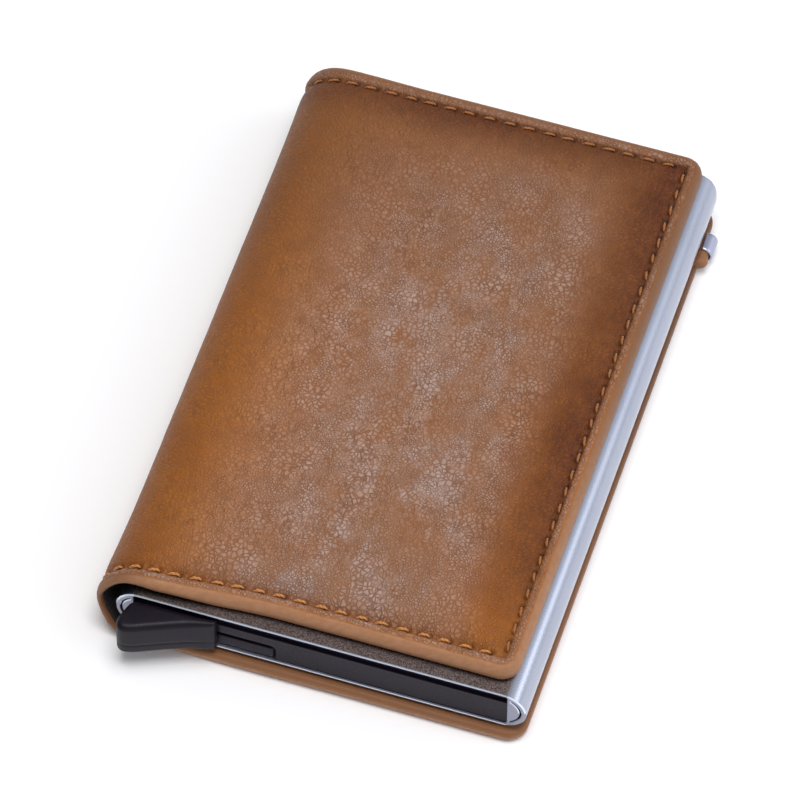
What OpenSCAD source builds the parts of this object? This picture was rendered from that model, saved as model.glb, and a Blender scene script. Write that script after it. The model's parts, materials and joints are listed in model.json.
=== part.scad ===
// Pop-up card wallet: an aluminium card case in a stitched book cover.
// Origin: underside of the back cover, below the middle of the case.
// +X across the width, away from the spine. +Y towards the case mouth. +Z up.

/* [Card case] */
// Outside width of the case
case_w = 62; // [58:0.5:78]
// Length of the case
case_l = 97; // [94:0.5:120]
// Outside thickness of the case
case_t = 8; // [7:0.5:12]
// Thickness of the two flat walls
wall_flat = 0.7; // [0.5:0.1:1.2]
// Thickness of the rounded outer side walls
wall_side = 0.7; // [0.5:0.1:1.2]
// Width of the curved hollow behind each outer side wall
hollow_w = 0.4; // [0.3:0.1:0.8]
// Least thickness of the upright ribs beside the card channel
rib_t = 0.6; // [0.4:0.1:1]
// Width of each rounded side, from the card channel to the outside
side_w = 2.9; // [2.4:0.1:4]

/* [End plug and lever] */
// Thickness of the plug's front wall
plug_wall = 2.05; // [1.5:0.05:3]
// How far the plug's face sits back from the case end
plug_recess = 0.25; // [0.1:0.05:1]
// Gap between the plug and the channel all round
plug_gap = 0.05; // [0.02:0.01:0.2]
// Height of the lever slot above the case's underside
slot_top = 3.9; // [3.4:0.1:4.4]
// Distance from the case centre to the right end of the lever slot
slot_end = 6.75; // [4:0.25:12]
// Depth of the rebate along the top of the plug's face
rebate_d = 0.5; // [0.2:0.1:1]
// Height of that rebate
rebate_h = 1.5; // [0.5:0.1:2]
// How deep the plug's deck and feet reach into the case
deck_depth = 9.8; // [8.5:0.1:11]
// Distance of the lever pivot from the case centre
pivot_x = 7; // [4:0.5:12]
// Distance of the lever pivot from the case end
pivot_y = 6.2; // [5.5:0.1:7]
// Radius of the pivot pin
pin_r = 1.2; // [0.8:0.1:1.5]
// Radial clearance of the pin in the lever
pin_gap = 0.05; // [0.02:0.01:0.1]
// Radius of the lever's hub
hub_r = 3; // [2.4:0.1:3.2]
// Width of the crank between hub and thumb tab
crank_w = 2.6; // [2.2:0.1:4]
// Reach of the longest pusher step from the pivot
arm_reach = 22; // [16:0.5:24]
// How much shorter each pusher step is than the one below it
arm_step = 2.5; // [1:0.1:3]
// Number of pusher steps
arm_steps = 5; // [3:1:6]
// Gap between moving and fixed faces of the mechanism
run_gap = 0.25; // [0.15:0.05:0.5]
// Left end of the thumb tab, from the case centre
tab_left = 28.9; // [24:0.1:30]
// Right end of the thumb tab, from the case centre
tab_right = 15.5; // [13:0.1:18]
// How far the thumb tab stands out at its left end
tab_out = 5.6; // [4:0.1:8]
// How far the thumb tab stands out at its right end
tab_toe = 0.9; // [0.6:0.1:2]
// Rounding of the thumb tab
tab_round = 0.7; // [0.4:0.1:1.2]

/* [Felt strips] */
// Width of a felt strip
felt_w = 8; // [4:0.5:14]
// Length of a felt strip
felt_l = 32; // [15:1:50]
// Thickness of a felt strip
felt_t = 0.5; // [0.3:0.1:0.8]
// Distance of the felt from the case mouth
felt_in = 5; // [2:0.5:15]

/* [Leather cover] */
// Thickness of the outer leather
leather_t = 1; // [0.7:0.1:1.4]
// Thickness of the stiffener board
board_t = 0.6; // [0.4:0.1:1]
// Thickness of the lining
lining_t = 0.6; // [0.4:0.1:1]
// Thickness of one card pocket panel
pocket_t = 0.4; // [0.3:0.1:0.6]
// Thickness of the adhesive pad under the case
tape_t = 0.8; // [0.5:0.1:1.2]
// Gap between the case and the closed front cover
cover_gap = 0.15; // [0.1:0.05:0.6]
// How far the front cover's free edge is inside the case's side
front_inset = 2.2; // [0:0.1:6]
// How far the front cover's lower edge is inside the case end
front_low = 2; // [0:0.1:5]
// How far both covers pass the case mouth
cover_over = 0.6; // [0:0.1:3]
// How far the back cover's free edge is inside the case's side
back_inset = 0.5; // [0:0.1:3]
// How far the back cover passes the lower end of the case
back_low = 1; // [0:0.1:3]
// Corner radius of the covers
cover_r = 3; // [1.5:0.5:6]
// Height of the foam crown under the front leather
crown = 1.3; // [0.5:0.1:2.5]
// Distance from the cover's edge to the foam
foam_inset = 4.4; // [3.6:0.1:8]
// Width of the foam's sloping shoulder
foam_shoulder = 12; // [6:1:18]

/* [Spine] */
// Distance from the case's side to the creases
crease_out = 0.9; // [0.8:0.1:3]
// How far the spine bulges past the creases
spine_bulge = 1; // [0.6:0.1:2]
// Gap between each crease and the solids beside it
crease_gap = 0.4; // [0.3:0.05:0.8]

/* [Card pockets] */
// Distance from the case centre to the mouth of the shallow pocket
mouth_shallow = 4; // [0:1:10]
// Distance from the case centre to the mouth of the deep pocket
mouth_deep = 16; // [12:1:24]

/* [Stitching] */
// Distance from the cover's edge to the stitch line
stitch_inset = 2.6; // [2:0.1:3]
// Distance from one stitch to the next
stitch_pitch = 3.1; // [2.5:0.1:5]
// Length of thread showing in one stitch
stitch_l = 1.9; // [1:0.1:2.2]
// Radius of the thread
thread_r = 0.25; // [0.15:0.05:0.3]

/* [Side tab] */
// Width of the tab along the cover's edge
side_tab_w = 9; // [6:0.5:15]
// Distance from the tab's middle to the case mouth
side_tab_in = 8.3; // [6:0.1:40]
// How far the tab's loop stands out past the back cover
side_tab_out = 1.2; // [1:0.1:4]
// Radius of the tab's folded loop
loop_r = 1.2; // [0.8:0.1:1.4]
// Length of the metal clip on the loop
clip_l = 5; // [3:0.5:6]
// Thickness of the metal clip
clip_t = 0.35; // [0.2:0.05:0.5]

/* [Hidden] */
$fn = 48;

// Colours
TAN = [0.55, 0.33, 0.17];
EDGE_TAN = [0.56, 0.40, 0.29];
DARK = [0.09, 0.08, 0.08];
BLACK = [0.15, 0.14, 0.17];
SILVER = [0.82, 0.84, 0.88];
THREAD = [0.85, 0.52, 0.16];
FOAM = [0.8, 0.8, 0.75];

// Heights, from the underside up
back_top = leather_t + board_t + lining_t;
case_z = back_top + tape_t;
case_top = case_z + case_t;
pocket_z = case_top + cover_gap;
front_lining_z = pocket_z + 2 * pocket_t;
front_board_z = front_lining_z + lining_t;
front_leather_z = front_board_z + board_t;
rim_top = front_leather_z + leather_t;
cover_top = rim_top + crown;

// The two creases: folding both by a right angle lays the front cover on the table
crease_x = -(case_w / 2 + crease_out);
crease_low_z = back_top + 0.1;
crease_high_z = cover_top + 0.1 - crease_low_z;
spine_t = leather_t + lining_t;
fold_r = crease_gap - 0.1;

// Ends and edges
case_low = -case_l / 2;
case_mouth = case_l / 2;
front_x = case_w / 2 - front_inset;
front_y = case_low + front_low;
back_x = case_w / 2 - back_inset;
back_y = case_low - back_low;
cover_y = case_mouth + cover_over;
cover_x = crease_x + crease_gap;
spine_y = (front_y + back_y) / 2;

// Inside of the case
channel_x = case_w / 2 - side_w;
floor_z = case_z + wall_flat;
ceiling_z = case_top - wall_flat;
corner_r = case_t / 2 - 0.1;

// Mechanism
pivot = [-pivot_x, case_low + pivot_y];
face_y = case_low + plug_recess;
wall_y = face_y + plug_wall;
deck_y = case_low + deck_depth;
slot_z = case_z + slot_top;
plate_low = floor_z + run_gap;
plate_top = slot_z - run_gap;
ear_r = hub_r + 1.2;
push_r = ear_r + 0.4;
neck_w = ear_r - 0.8;
arm_top = deck_y - 0.2;
step_h = (ceiling_z - run_gap - plate_low) / arm_steps;
pin_top = ceiling_z - 0.7;
tab_low = floor_z - 0.05;
tab_high = ceiling_z + 0.2;
tab_y = case_low - 0.15;
slot_left = tab_left - 4;
foot_x = arm_reach - pivot_x + 2;

// Side tab: its root lies outside the stitch line, and its loop stands past the back cover
loop_x = back_x + side_tab_out;
loop_z = back_top + 0.2;
side_tab_y = case_mouth - side_tab_in;
root_t = tape_t - 0.2;
root_l = stitch_inset - thread_r - 0.35;

// A flat panel in plan, square on the spine side and rounded on the free side
module panel(x0, x1, y0, y1, r) {
    translate([x0, y0]) square([x1 - x0 - r, y1 - y0]);
    translate([x0, y0 + r]) square([x1 - x0, y1 - y0 - 2 * r]);
    for (y = [y0 + r, y1 - r])
        translate([x1 - r, y]) circle(r);
}

// A layer of a cover between two heights
module layer(x0, x1, y0, y1, z0, z1, r = cover_r) {
    translate([0, 0, z0])
        linear_extrude(z1 - z0) panel(x0, x1, y0, y1, r);
}

// The foam's crowned form, grown outwards and upwards by an amount, and let down by another
module crowned(grow, down) {
    levels = 6;
    skin = 0.01;
    hull()
        for (i = [0:levels]) {
            inset = foam_inset - grow + foam_shoulder * (1 - cos(90 * i / levels));
            z = front_leather_z + grow + crown * sin(90 * i / levels);
            translate([0, 0, i == 0 ? front_leather_z - down : z - skin])
                linear_extrude(i == 0 ? down + grow + skin : skin)
                    panel(cover_x + inset, front_x - inset, front_y + inset, cover_y - inset,
                          cover_r, $fn = 32);
        }
}

// One stitch lying along +X at the origin
module stitch() {
    translate([-stitch_l / 2, 0, 0]) rotate([0, 90, 0]) cylinder(r = thread_r, h = stitch_l, $fn = 16);
}

// A run of stitches from one point to another, centred on its length
module run(a, b, z) {
    d = b - a;
    n = floor(norm(d) / stitch_pitch);
    start = (norm(d) - (n - 1) * stitch_pitch) / 2;
    translate([a[0], a[1], z]) rotate([0, 0, atan2(d[1], d[0])])
        for (i = [0:n - 1])
            translate([start + i * stitch_pitch, 0, 0]) stitch();
}

// Stitches along the lower, free and upper edges of a cover
module edge_stitches(x1, y0, y1, z) {
    x0 = cover_x + stitch_inset;
    sx = x1 - stitch_inset;
    sy0 = y0 + stitch_inset;
    sy1 = y1 - stitch_inset;
    run([x0, sy0], [sx - 1, sy0], z);
    run([sx, sy0 + 1], [sx, sy1 - 1], z);
    run([sx - 1, sy1], [x0, sy1], z);
}

// The case's outline in X and Z, shrunk by an amount
module case_outline(shrink) {
    r = corner_r - shrink;
    w = case_w / 2 - shrink - r;
    h = case_t / 2 - shrink - r;
    square([2 * w, 2 * (h + r)], center = true);
    square([2 * (w + r), 2 * h], center = true);
    for (x = [-w, w], z = [-h, h])
        translate([x, z]) circle(r);
}

// An XZ outline run along Y between two ends
module along_y(y0, y1) {
    translate([0, y1, case_z + case_t / 2])
        rotate([90, 0, 0]) linear_extrude(y1 - y0) children();
}

module case_shell() {
    over = 1;
    color(SILVER)
        difference() {
            along_y(case_low, case_mouth) case_outline(0);
            along_y(case_low - over, case_mouth + over)
                square([2 * channel_x, case_t - 2 * wall_flat], center = true);
            along_y(case_low - over, case_mouth + over)
                difference() {
                    case_outline(wall_side);
                    case_outline(wall_side + hollow_w);
                    square([2 * (channel_x + rib_t), case_t], center = true);
                }
        }
}

// A box between two corners
module block(a, b) {
    translate(a) cube(b - a);
}

module end_plug() {
    x = channel_x - plug_gap;
    z0 = floor_z + plug_gap;
    z1 = ceiling_z - plug_gap;
    slot_r = 1;
    color(BLACK)
        difference() {
            union() {
                block([-x, face_y, z0], [x, wall_y, z1]);
                block([-x, wall_y, z0], [-slot_left - 1, deck_y, z1]);
                block([foot_x, wall_y, z0], [x, deck_y, z1]);
                block([-x, wall_y, slot_z], [pivot[0], deck_y, z1]);
                block([pivot[0] - ear_r, wall_y, slot_z], [pivot[0] + neck_w, pivot[1], z1]);
                translate([pivot[0], pivot[1], slot_z]) cylinder(r = ear_r, h = z1 - slot_z);
            }
            block([-slot_left, face_y - 1, z0 - 1], [-slot_end, wall_y + 0.01, slot_z - slot_r]);
            block([-slot_left, face_y - 1, z0 - 1], [-slot_end - slot_r, wall_y + 0.01, slot_z]);
            translate([-slot_end - slot_r, face_y - 1, slot_z - slot_r]) rotate([-90, 0, 0])
                cylinder(r = slot_r, h = plug_wall + 1.01);
            block([-x - 1, face_y - 1, z1 - rebate_h], [x + 1, face_y + rebate_d, z1 + 1]);
            translate([pivot[0], pivot[1], slot_z - 1]) cylinder(r = pin_r, h = pin_top - slot_z + 1);
        }
}

module pivot_pin() {
    color(SILVER)
        translate([pivot[0], pivot[1], floor_z + 0.1]) cylinder(r = pin_r, h = pin_top - floor_z - 0.1);
}

// Plan of one pusher step: a bar from the hub with a rounded tip
module step_plan(reach, top) {
    tip_r = 1.4;
    low = pivot[1] - hub_r + 0.2;
    translate([pivot[0], low]) square([reach - tip_r, top - low]);
    translate([pivot[0], low + tip_r]) square([reach, top - low - 2 * tip_r]);
    for (y = [low + tip_r, top - tip_r])
        translate([pivot[0] + reach - tip_r, y]) circle(tip_r);
}

// The thumb tab: a wedge outside the plug, thick at its left end
module thumb_tab() {
    r = tab_round;
    root_in = 2.2;
    side_in = 1;
    tip_in = 1.4;
    tip_back = 1.7;
    outline = [[-tab_right - r, tab_y - r, r],
               [-tab_left + root_in + r, tab_y - r, r],
               [-tab_left + side_in + r, tab_y - root_in, r],
               [-tab_left + r, tab_y - tab_out + tip_back, r],
               [-tab_left + tip_in + r, tab_y - tab_out + r, r],
               [-tab_right - r, tab_y - tab_toe + r / 2, r / 2]];
    hull()
        for (c = outline, z = [tab_low + r, tab_high - r])
            translate([c[0], c[1], z]) sphere(c[2], $fn = 32);
}

module lever() {
    crank_end = [-tab_right - 7, tab_y - 0.45];
    d = crank_end - pivot;
    color(BLACK)
        difference() {
            union() {
                translate([pivot[0], pivot[1], plate_low]) cylinder(r = hub_r, h = plate_top - plate_low);
                translate([pivot[0], pivot[1], plate_low]) rotate([0, 0, atan2(d[1], d[0])])
                    translate([0, -crank_w / 2, 0]) cube([norm(d), crank_w, plate_top - plate_low]);
                thumb_tab();
                for (i = [0:arm_steps - 1]) {
                    z0 = plate_low + i * step_h;
                    difference() {
                        translate([0, 0, z0]) linear_extrude(step_h)
                            step_plan(arm_reach - i * arm_step, arm_top - 0.6 * i);
                        translate([pivot[0], pivot[1], plate_top])
                            cylinder(r = push_r, h = case_t);
                    }
                }
            }
            translate([pivot[0], pivot[1], plate_low - 1])
                cylinder(r = pin_r + pin_gap, h = case_t);
        }
}

module felt(x) {
    block([x, case_mouth - felt_in - felt_l, floor_z], [x + felt_w, case_mouth - felt_in, floor_z + felt_t]);
}

module felt_left() {
    color(DARK) felt(-channel_x + 3);
}

module felt_right() {
    color(DARK) felt(channel_x - 3 - felt_w);
}

module back_leather() {
    color(TAN) layer(cover_x, back_x, back_y, cover_y, 0, leather_t);
}

module back_board() {
    margin = 1;
    color(DARK)
        layer(cover_x + margin, back_x - margin, back_y + margin, cover_y - margin,
              leather_t, leather_t + board_t);
}

module back_lining() {
    rim = 1;
    color(DARK)
        difference() {
            layer(cover_x, back_x, back_y, cover_y, leather_t, back_top);
            layer(cover_x + rim, back_x - rim, back_y + rim, cover_y - rim,
                  leather_t - 0.5, leather_t + board_t);
        }
}

module back_thread() {
    color(THREAD) edge_stitches(back_x, back_y, cover_y, back_top + thread_r);
}

module mounting_tape() {
    margin = 5;
    color(DARK)
        block([-case_w / 2 + margin, case_low + margin, back_top],
              [case_w / 2 - margin, case_mouth - margin, case_z]);
}

module side_tab() {
    color(EDGE_TAN)
        difference() {
            union() {
                translate([loop_x, side_tab_y + side_tab_w / 2, loop_z]) rotate([90, 0, 0])
                    cylinder(r = loop_r, h = side_tab_w);
                block([back_x - root_l, side_tab_y - side_tab_w / 2, back_top],
                      [loop_x, side_tab_y + side_tab_w / 2, back_top + root_t]);
            }
            block([back_x - root_l - 1, side_tab_y - side_tab_w, 0],
                  [back_x + 0.05, side_tab_y + side_tab_w, back_top]);
        }
}

module tab_clip() {
    color(SILVER)
        translate([loop_x, side_tab_y + side_tab_w / 2 - 0.6, loop_z]) rotate([90, 0, 0])
            difference() {
                cylinder(r = loop_r + clip_t, h = clip_l);
                translate([0, 0, -1]) cylinder(r = loop_r, h = clip_l + 2);
                translate([-2 * loop_r - 0.2, -2 * loop_r, -1])
                    cube([2 * loop_r, 4 * loop_r, clip_l + 2]);
            }
}

// A bowed strip of the spine between two depths from its outer face
module spine_strip(d0, d1) {
    half = (crease_high_z - crease_low_z) / 2;
    r = (half * half + spine_bulge * spine_bulge) / (2 * spine_bulge);
    outer = crease_x - spine_t / 2 - spine_bulge;
    mid_z = (crease_low_z + crease_high_z) / 2;
    end_gap = 0.05;
    along_spine()
        intersection() {
            translate([outer + r, mid_z])
                difference() {
                    circle(r - d0, $fn = 96);
                    circle(r - d1, $fn = 96);
                }
            translate([outer - 1, mid_z - half + end_gap])
                square([cover_x - end_gap - outer + 1, 2 * (half - end_gap)]);
        }
}

// An XZ outline run along the spine
module along_spine() {
    translate([0, cover_y, 0]) rotate([90, 0, 0]) linear_extrude(cover_y - spine_y) children();
}

// The leather of the spine, with a rolled fold on each crease
module spine_leather() {
    color(TAN)
        union() {
            spine_strip(0, leather_t);
            along_spine() translate([crease_x, crease_low_z]) circle(fold_r);
            along_spine() translate([crease_x, crease_high_z]) circle(fold_r);
        }
}

module spine_lining() {
    color(DARK)
        difference() {
            spine_strip(leather_t, spine_t);
            along_spine() translate([crease_x, crease_low_z]) circle(fold_r);
            along_spine() translate([crease_x, crease_high_z]) circle(fold_r);
        }
}

module front_layer(x0, z0, z1) {
    layer(x0, front_x, front_y, cover_y, z0, z1);
}

module front_lining() {
    color(DARK) front_layer(cover_x, front_lining_z, front_board_z);
}

module front_board() {
    color(DARK) front_layer(cover_x, front_board_z, front_leather_z);
}

module front_foam() {
    color(FOAM) crowned(0, 0);
}

module front_leather() {
    color(TAN)
        difference() {
            union() {
                front_layer(cover_x, front_leather_z, rim_top);
                crowned(leather_t, 0);
            }
            crowned(0, leather_t);
        }
}

module front_thread() {
    color(THREAD) edge_stitches(front_x, front_y, cover_y, rim_top + thread_r);
}

module pocket_shallow() {
    color(TAN) front_layer(-mouth_shallow, pocket_z, pocket_z + pocket_t);
}

module pocket_deep() {
    color(TAN) front_layer(-mouth_deep, pocket_z + pocket_t, front_lining_z);
}

back_leather();
back_board();
back_lining();
back_thread();
mounting_tape();
side_tab();
tab_clip();
case_shell();
end_plug();
pivot_pin();
felt_left();
felt_right();
lever();
spine_leather();
spine_lining();
front_lining();
front_board();
front_foam();
front_leather();
front_thread();
pocket_shallow();
pocket_deep();
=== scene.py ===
import bpy, bmesh, math, json
import numpy as np
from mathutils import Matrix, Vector
from mathutils.geometry import tessellate_polygon


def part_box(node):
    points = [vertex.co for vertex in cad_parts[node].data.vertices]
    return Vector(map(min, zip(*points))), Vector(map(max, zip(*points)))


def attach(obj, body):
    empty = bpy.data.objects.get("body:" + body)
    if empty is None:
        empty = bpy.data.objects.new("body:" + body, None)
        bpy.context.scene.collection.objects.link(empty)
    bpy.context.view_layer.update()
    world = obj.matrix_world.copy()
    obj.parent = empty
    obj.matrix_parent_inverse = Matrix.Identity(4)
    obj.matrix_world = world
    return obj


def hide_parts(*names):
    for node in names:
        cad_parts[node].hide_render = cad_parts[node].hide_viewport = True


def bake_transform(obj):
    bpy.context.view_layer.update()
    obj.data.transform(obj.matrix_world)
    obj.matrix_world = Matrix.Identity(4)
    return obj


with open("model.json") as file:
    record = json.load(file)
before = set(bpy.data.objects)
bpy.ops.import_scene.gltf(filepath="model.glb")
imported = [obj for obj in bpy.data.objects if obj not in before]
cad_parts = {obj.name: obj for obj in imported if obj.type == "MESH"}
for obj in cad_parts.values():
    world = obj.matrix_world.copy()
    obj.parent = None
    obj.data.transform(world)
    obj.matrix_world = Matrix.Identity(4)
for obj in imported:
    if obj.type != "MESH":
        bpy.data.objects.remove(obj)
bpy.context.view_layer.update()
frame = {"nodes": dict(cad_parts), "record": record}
MM = 0.001


def mm_box(node):
    lo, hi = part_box(node)
    return [c / MM for c in lo], [c / MM for c in hi]


# ---------------------------------------------------------------- colours and materials
def lin(r, g, b):
    def f(c):
        c = c / 255
        return c / 12.92 if c <= 0.04045 else ((c + 0.055) / 1.055) ** 2.4
    return (f(r), f(g), f(b), 1)


class Graph:
    def __init__(self, name):
        self.mat = bpy.data.materials.new(name)
        self.mat.use_nodes = True
        self.nt = self.mat.node_tree
        self.bsdf = self.nt.nodes["Principled BSDF"]

    def node(self, kind, **props):
        n = self.nt.nodes.new(kind)
        for k, v in props.items():
            setattr(n, k, v)
        return n

    def link(self, a, b):
        self.nt.links.new(a, b)

    def put(self, socket, value):
        if isinstance(value, bpy.types.NodeSocket):
            self.link(value, socket)
        else:
            socket.default_value = value

    def coord(self, kind="Object"):
        return self.node("ShaderNodeTexCoord").outputs[kind]

    def mapping(self, vec, scale=(1, 1, 1), rot=(0, 0, 0)):
        m = self.node("ShaderNodeMapping")
        self.put(m.inputs["Vector"], vec)
        m.inputs["Scale"].default_value = scale
        m.inputs["Rotation"].default_value = rot
        return m.outputs[0]

    def noise(self, vec, scale, detail=3, rough=0.5, out="Fac"):
        n = self.node("ShaderNodeTexNoise")
        self.put(n.inputs["Vector"], vec)
        for k, v in (("Scale", scale), ("Detail", detail), ("Roughness", rough)):
            n.inputs[k].default_value = v
        return n.outputs[out]

    def noise_colour(self, vec, scale, detail=3):
        return self.noise(vec, scale, detail, out="Color")

    def voronoi(self, vec, scale, feature="F1", out="Distance"):
        n = self.node("ShaderNodeTexVoronoi", feature=feature)
        self.put(n.inputs["Vector"], vec)
        n.inputs["Scale"].default_value = scale
        return n.outputs[out]

    def remap(self, v, a, b, c=0.0, d=1.0):
        """Takes a..b to c..d with a smooth step."""
        n = self.node("ShaderNodeMapRange", interpolation_type="SMOOTHSTEP")
        self.put(n.inputs[0], v)
        for i, x in zip((1, 2, 3, 4), (a, b, c, d)):
            n.inputs[i].default_value = x
        return n.outputs[0]

    def math(self, op, a, b=0.0, clamp=False):
        n = self.node("ShaderNodeMath", operation=op, use_clamp=clamp)
        self.put(n.inputs[0], a)
        self.put(n.inputs[1], b)
        return n.outputs[0]

    def mul(self, a, b):
        return self.math("MULTIPLY", a, b)

    def mix(self, fac, a, b):
        n = self.node("ShaderNodeMix", data_type="RGBA")
        self.put(n.inputs[0], fac)
        self.put(n.inputs[6], a)
        self.put(n.inputs[7], b)
        return n.outputs[2]

    def warp(self, vec, colour, amount):
        """Moves a coordinate about by a noise colour."""
        offset = self.node("ShaderNodeVectorMath", operation="SUBTRACT")
        self.put(offset.inputs[0], colour)
        offset.inputs[1].default_value = (0.5, 0.5, 0.5)
        scaled = self.node("ShaderNodeVectorMath", operation="SCALE")
        self.link(offset.outputs[0], scaled.inputs[0])
        scaled.inputs["Scale"].default_value = amount
        moved = self.node("ShaderNodeVectorMath", operation="ADD")
        self.put(moved.inputs[0], vec)
        self.link(scaled.outputs[0], moved.inputs[1])
        return moved.outputs[0]

    def attr(self, name):
        return self.node("ShaderNodeAttribute", attribute_name=name).outputs["Fac"]

    def bump(self, height, distance, strength=1.0):
        n = self.node("ShaderNodeBump")
        self.put(n.inputs["Height"], height)
        n.inputs["Distance"].default_value = distance
        n.inputs["Strength"].default_value = strength
        self.link(n.outputs[0], self.bsdf.inputs["Normal"])

    def set(self, **values):
        names = {"colour": "Base Color", "rough": "Roughness", "metal": "Metallic",
                 "spec": "Specular IOR Level", "sheen": "Sheen Weight"}
        for k, v in values.items():
            self.put(self.bsdf.inputs[names[k]], v)
        return self


def scaled(tone, factor, more=0):
    """A tone made lighter or darker, kept between 0 and 255."""
    return lin(*[min(255, max(0, k * factor + more)) for k in tone])


LEATHER = {name: lin(*tone) for name, tone in {
    "tan": (153, 86, 8), "tan_warm": (160, 94, 18), "burnt_and_shaded": (70, 26, 0), "burnt_and_shaded_pale": (98, 44, 0),
    "rubbed_and_sheen": (160, 136, 126), "far": (112, 74, 42), "tops_wear_and_sheen": (182, 162, 152), "line": (112, 70, 42),
    "line_burnt_and_shaded": (66, 28, 2), "wrinkle": (104, 56, 20), "sweep": (134, 84, 42), "paint": (156, 110, 76),
    "paint_warm": (164, 118, 86), "paint_low": (132, 88, 56), "paint_dusk": (104, 70, 46), "hole_shade": (34, 17, 6),
}.items()}
PEBBLES, SMALL_PEBBLES = 1.4, 2.3      # cells per mm
LEATHER_RELIEF = 0.00011               # height of the pebbles, m


def leather_material(name, worn_and_sheen):
    """Tumbled tan leather with soft pebbles, burnished low places darkened further by painted shade, a painted
    sheen in the middle, and a smooth painted cut edge.
    UVs are in mm. The sheet's attributes say where it is edge-painted, burnished or given painted shade, pale from
    rubbing or given a painted sheen, and so on."""
    g = Graph(name)
    uv = g.coord("UV")
    # pebbles: two sizes of cell, wandering and mixed by zones
    v = g.warp(uv, g.noise_colour(uv, 0.35, 2), 1.1)
    v = g.warp(v, g.noise_colour(uv, 1.8, 2), 0.22)
    crease_big = g.remap(g.voronoi(v, PEBBLES, "DISTANCE_TO_EDGE"), 0.0, 0.27)
    turned = g.mapping(v, (1, 1, 1), (0, 0, 0.7))
    crease_small = g.remap(g.voronoi(turned, SMALL_PEBBLES, "DISTANCE_TO_EDGE"), 0.0, 0.28)
    zone = g.remap(g.noise(uv, 0.16, 3), 0.42, 0.58)
    cell = g.mul(g.mix(zone, crease_small, crease_big), g.remap(crease_small, 0, 1, 0.7, 1.0))
    fine = g.noise(uv, 5.0, 4, 0.6)
    mottle = g.noise(uv, 0.075, 4, 0.6)
    patch = g.noise(uv, 0.4, 5, 0.65)
    haze = g.remap(g.noise(uv, 0.09, 4, 0.6), 0.28, 0.62, 0.5, 1.0)
    burnish_and_shade, wear_and_sheen, paint = g.attr("burnish_and_shade"), g.attr("wear_and_sheen"), g.attr("paint")

    # ground colour: tan, greyer with painted shade on the far half, pale from rubbing and from a painted sheen in
    # the middle, dark where burnished and where painted shade lies near the edges and the spine
    slanted = g.mapping(uv, (2.4, 0.7, 1), (0, 0, 0.5))
    streak = g.noise(g.warp(slanted, g.noise_colour(uv, 0.6, 2), 1.5), 1.0, 4, 0.65)
    tan = g.mix(g.remap(mottle, 0.3, 0.7), LEATHER["tan"], LEATHER["tan_warm"])
    # painted shade: greyer and darker towards the far end
    tan = g.mix(g.mul(g.attr("far"), 0.5), tan, LEATHER["far"])
    deep = g.mix(g.remap(streak, 0.35, 0.65), LEATHER["burnt_and_shaded"], LEATHER["burnt_and_shaded_pale"])
    # painted sheen: pale greyish in the middle, partly from rubbing
    body = g.mix(g.mul(wear_and_sheen, haze), tan, LEATHER["rubbed_and_sheen"])
    # burnished places, darkened further with painted shade near the edges, at the spine and on the far half
    body = g.mix(g.math("MULTIPLY", burnish_and_shade, g.remap(patch, 0.25, 0.7, 0.8, 1.0), True), body, deep)

    # pale crowns of the pebbles, from rubbing and a painted highlight, only where the painted sheen lies; and dark
    # lines between them
    tops_wear_and_sheen = g.mul(cell, g.remap(g.noise(uv, 0.22, 3, 0.6), 0.40, 0.64, 0.05, worn_and_sheen))
    body = g.mix(g.mul(tops_wear_and_sheen, g.remap(wear_and_sheen, 0.05, 0.6)), body, LEATHER["tops_wear_and_sheen"])
    lines = g.mul(g.remap(cell, 0.0, 0.7, 1.0, 0.0), g.remap(patch, 0.3, 0.6, 0.4, 0.8))
    lines = g.mul(lines, g.remap(wear_and_sheen, 0.0, 0.6, 0.6, 1.0))
    body = g.mix(lines, body, g.mix(burnish_and_shade, LEATHER["line"], LEATHER["line_burnt_and_shaded"]))

    # long wrinkles with painted shade in them, and broad darker sweeps
    long_uv = g.warp(g.mapping(uv, (0.30, 0.13, 1), (0, 0, 0.45)), g.noise_colour(uv, 0.25, 3), 0.5)
    fold = g.math("ABSOLUTE", g.math("SUBTRACT", g.noise(long_uv, 1.6, 4, 0.6), 0.5))
    wrinkle = g.mul(g.remap(fold, 0.0, 0.03, 1.0, 0.0), g.remap(mottle, 0.42, 0.6))
    body = g.mix(g.mul(wrinkle, 0.38), body, LEATHER["wrinkle"])
    sweep = g.remap(g.noise(long_uv, 0.7, 3, 0.55), 0.38, 0.60)
    body = g.mix(g.mul(sweep, g.mul(wear_and_sheen, 0.62)), body, LEATHER["sweep"])

    # the cut edge's paint, with painted shade on its lower half, at the free side, the far end and the spine;
    # painted shadow in the needle holes
    edge = g.mix(g.remap(g.noise(uv, 0.8, 4), 0.35, 0.65), LEATHER["paint"], LEATHER["paint_warm"])
    edge = g.mix(g.attr("low"), edge, LEATHER["paint_low"])
    edge = g.mix(g.attr("dusk"), edge, LEATHER["paint_dusk"])
    body = g.mix(paint, body, edge)
    body = g.mix(g.attr("hole_shade"), body, LEATHER["hole_shade"])

    height = g.math("ADD", g.mul(cell, 0.85), g.mul(fine, 0.2))
    height = g.math("SUBTRACT", height, g.mul(wrinkle, 0.5))
    height = g.mul(height, g.remap(g.math("SUBTRACT", 1.0, paint), 0, 1, 0.04, 1.0))
    g.bump(height, LEATHER_RELIEF, 0.85)
    g.set(colour=body, rough=g.remap(cell, 0, 1, 0.56, 0.43), spec=0.26, sheen=0.03)
    g.bsdf.inputs["Sheen Tint"].default_value = (1.0, 0.92, 0.88, 1)
    return g.mat


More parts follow.
